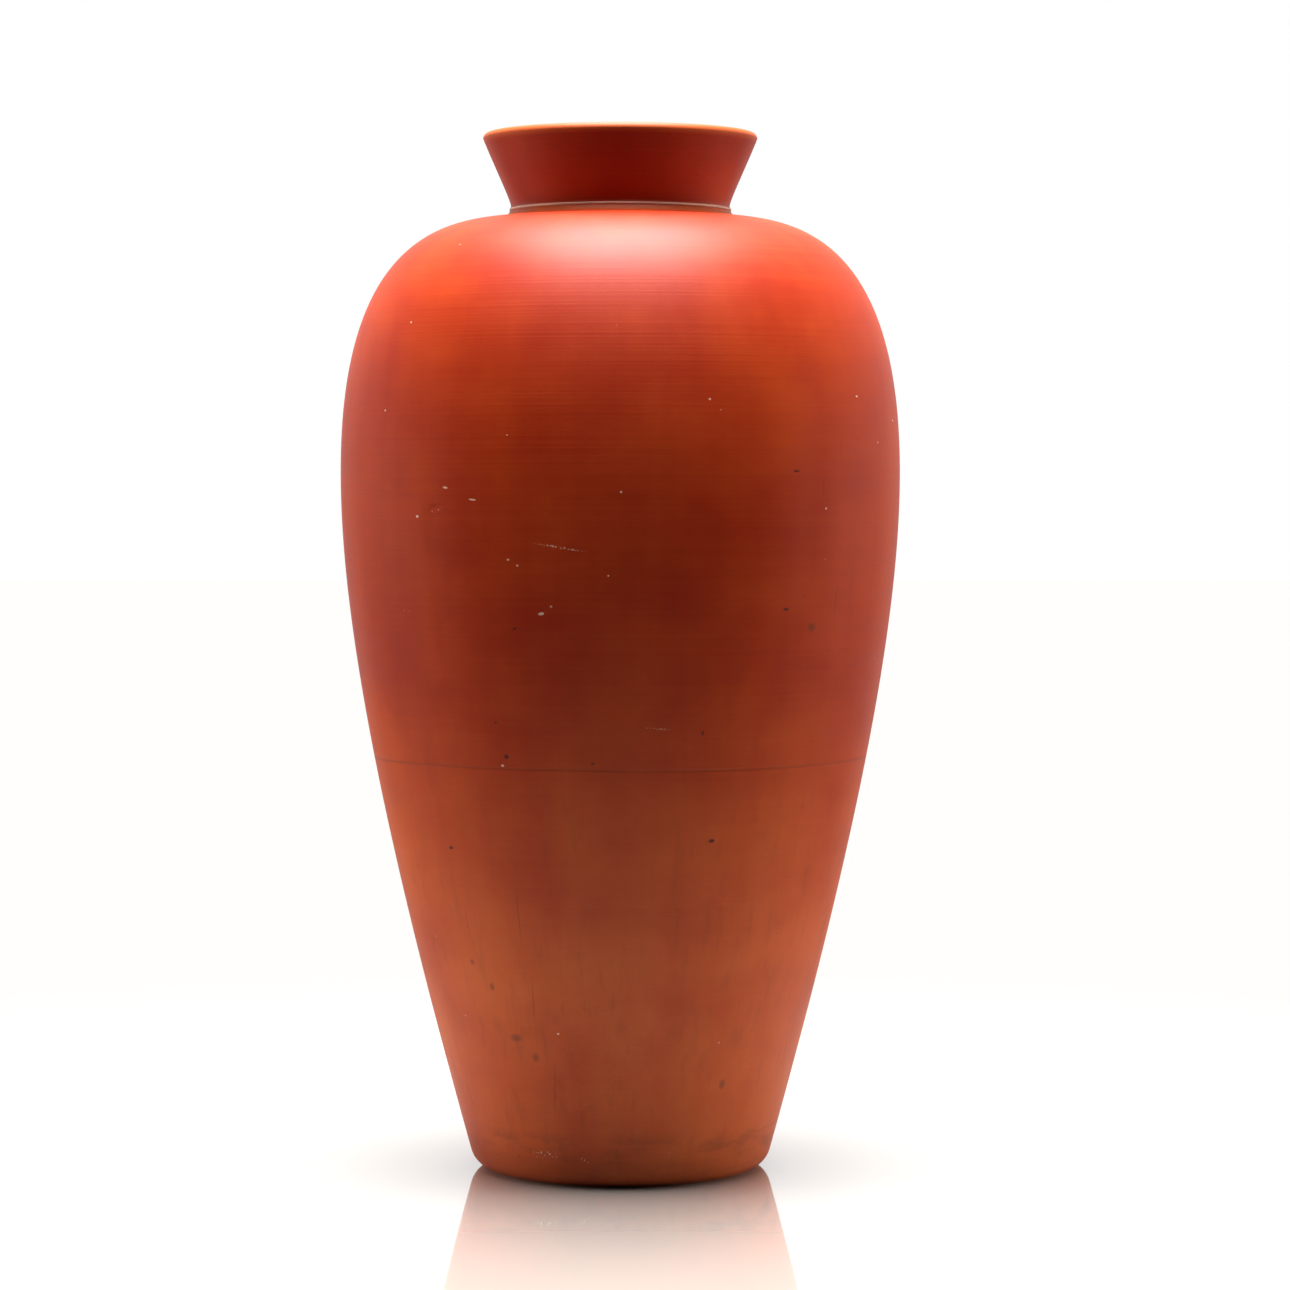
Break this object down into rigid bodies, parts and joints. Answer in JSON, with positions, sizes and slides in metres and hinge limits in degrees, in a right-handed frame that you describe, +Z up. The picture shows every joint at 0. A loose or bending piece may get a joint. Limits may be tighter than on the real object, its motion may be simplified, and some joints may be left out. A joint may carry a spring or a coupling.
{
  "type": "floor vase",
  "caption": "Tall earthenware floor vase with a broad high shoulder, tapering body and short flared collar.",
  "frame": {"origin": "centre of the foot, on the floor", "axes": "+Z up along the axis on which the vase was turned"},
  "size_m": [0.297, 0.297, 0.55],
  "materials": {
    "body_clay": "satin burnished red-orange earthenware with fine turning lines",
    "foot_clay": "satin earthenware, soiled near the floor and bare underneath"
  },
  "bodies": {
    "root": {"foot_base": "foot_clay", "lower_body": "body_clay", "upper_body": "body_clay", "neck_collar": "body_clay"}
  },
  "joints": []
}
